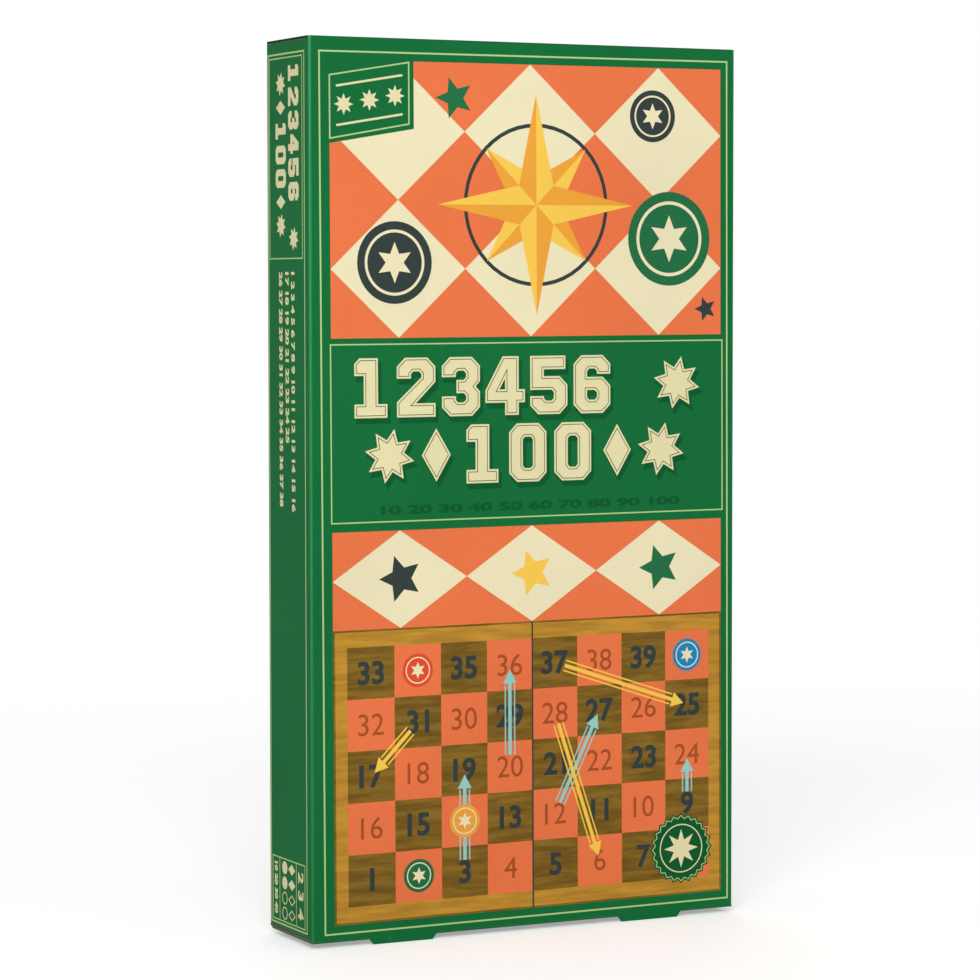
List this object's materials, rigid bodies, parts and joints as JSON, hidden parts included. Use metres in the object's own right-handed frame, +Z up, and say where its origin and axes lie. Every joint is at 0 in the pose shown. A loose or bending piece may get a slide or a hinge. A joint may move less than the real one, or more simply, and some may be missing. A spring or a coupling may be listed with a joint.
{
  "type": "boxed snakes and ladders game",
  "caption": "Upright tuck-top card carton of a snakes and ladders game, holding a folding wooden board with hook clasps, pawns, a die and a leaflet.",
  "frame": {"origin": "on the surface that the carton stands on, under the middle of its footprint", "axes": "+Z up the carton, +X to the right seen from the front, and the front panel faces -Y"},
  "size_m": [0.2, 0.045, 0.3742],
  "materials": {
    "card_printed": "printed carton board with a satin coating",
    "card_raw": "uncoated grey back of carton board",
    "leaflet_paper": "uncoated paper",
    "wood_play": "printed and varnished wooden panel with scored squares",
    "wood_case": "varnished wood",
    "brass": "bright brass plate",
    "paint_red": "gloss paint on turned wood",
    "paint_green": "gloss paint on turned wood",
    "paint_blue": "gloss paint on turned wood",
    "paint_yellow": "gloss paint on turned wood",
    "paint_cream": "gloss paint on wood"
  },
  "bodies": {
    "carton": {"front_panel": "card_printed", "back_panel": "card_printed", "left_panel": "card_printed", "right_panel": "card_printed", "seam_flap": "card_raw", "bottom_outer_flap": "card_printed", "bottom_inner_flap": "card_printed", "bottom_dust_flap_left": "card_printed", "bottom_dust_flap_right": "card_printed", "rules_leaflet": "leaflet_paper"},
    "lid": {"lid_panel": "card_printed"},
    "tuck": {"tuck_flap": "card_printed"},
    "dust_left": {"dust_flap_left": "card_printed"},
    "dust_right": {"dust_flap_right": "card_printed"},
    "board_rear": {"rear_play_panel": "wood_play", "rear_hinge_wall": "wood_case", "rear_clasp_wall": "wood_case", "rear_lower_wall": "wood_case", "rear_upper_wall": "wood_case", "hinge_leaves_rear": "brass", "hinge_pins": "brass", "hinge_screws_rear": "brass", "clasp_pivot_screws": "brass", "pawn_red": "paint_red", "pawn_green": "paint_green", "pawn_blue": "paint_blue", "pawn_yellow": "paint_yellow", "die": "paint_cream"},
    "board_front": {"front_play_panel": "wood_play", "front_hinge_wall": "wood_case", "front_clasp_wall": "wood_case", "front_lower_wall": "wood_case", "front_upper_wall": "wood_case", "hinge_leaves_front": "brass", "hinge_screws_front": "brass", "clasp_studs": "brass"},
    "hook_lower": {"clasp_hook_lower": "brass"},
    "hook_upper": {"clasp_hook_upper": "brass"}
  },
  "joints": [
    {"name": "lid_crease", "type": "hinge", "parent": "carton", "child": "lid", "pos_m": [0, 0.0225, 0.3734], "axis": [-1, 0, 0], "range_deg": [0, 180]},
    {"name": "tuck_crease", "type": "hinge", "parent": "lid", "child": "tuck", "pos_m": [0, -0.0214, 0.3734], "axis": [-1, 0, 0], "range_deg": [0, 38]},
    {"name": "dust_crease_left", "type": "hinge", "parent": "carton", "child": "dust_left", "pos_m": [-0.1, 0, 0.3725], "axis": [0, -1, 0], "range_deg": [0, 47]},
    {"name": "dust_crease_right", "type": "hinge", "parent": "carton", "child": "dust_right", "pos_m": [0.1, 0, 0.3725], "axis": [0, 1, 0], "range_deg": [0, 47]},
    {"name": "board_lift", "type": "slide", "parent": "carton", "child": "board_rear", "axis": [0, 0, 1], "range_m": [0, 0.0015]},
    {"name": "board_hinge", "type": "hinge", "parent": "board_rear", "child": "board_front", "pos_m": [0.0962, 0.0003, 0.18122], "axis": [0, 0, 1], "range_deg": [0, 0.1]},
    {"name": "hook_pivot_lower", "type": "hinge", "parent": "board_rear", "child": "hook_lower", "pos_m": [-0.0882, 0.0078, 0.11059], "axis": [-1, 0, 0], "range_deg": [0, 100]},
    {"name": "hook_pivot_upper", "type": "hinge", "parent": "board_rear", "child": "hook_upper", "pos_m": [-0.0882, 0.0078, 0.25185], "axis": [-1, 0, 0], "range_deg": [0, 100]}
  ],
  "couplings": [
    {"joint": "tuck_crease", "follows": "lid_crease", "ratio": 0.2},
    {"joint": "dust_crease_left", "follows": "lid_crease", "ratio": 0.25},
    {"joint": "dust_crease_right", "follows": "lid_crease", "ratio": 0.25}
  ]
}
